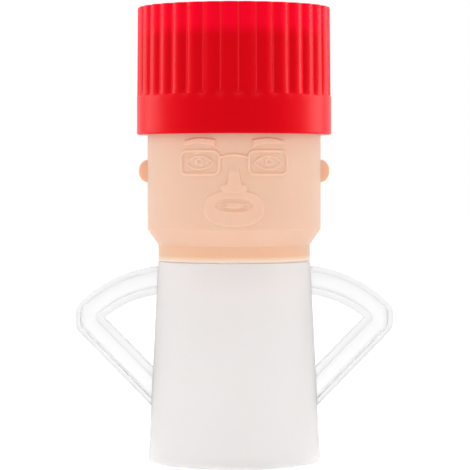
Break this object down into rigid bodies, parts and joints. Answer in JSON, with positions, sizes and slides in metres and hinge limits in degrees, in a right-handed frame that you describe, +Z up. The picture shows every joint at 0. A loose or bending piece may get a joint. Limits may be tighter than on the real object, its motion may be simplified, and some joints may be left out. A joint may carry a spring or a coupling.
{
  "type": "figure-shaped vented container",
  "caption": "Standing figure container: tapered frosted cup with bent arm loops, lift-off head that plugs into it, and lift-off pleated hat with vents.",
  "frame": {"origin": "centre of the cup's base, on the surface that the object stands on", "axes": "+Z up along the axis of cup, head and hat, -Y out of the face, +X and -X out along the arms"},
  "size_m": [0.0948, 0.0582, 0.1353],
  "materials": {
    "frosted_plastic": "translucent frosted polypropylene",
    "clear_plastic": "thin natural polypropylene that reads as almost clear",
    "peach_plastic": "satin peach polypropylene",
    "red_plastic": "satin red polypropylene, slightly translucent"
  },
  "bodies": {
    "cup": {"cup": "frosted_plastic", "arm_left": "clear_plastic", "arm_right": "clear_plastic"},
    "head": {"head": "peach_plastic"},
    "hat": {"hat": "red_plastic"}
  },
  "joints": [
    {"name": "head_lift", "type": "slide", "parent": "cup", "child": "head", "axis": [0, 0, 1], "range_m": [0, 0.03]},
    {"name": "hat_lift", "type": "slide", "parent": "head", "child": "hat", "axis": [0, 0, 1], "range_m": [0, 0.04]}
  ]
}
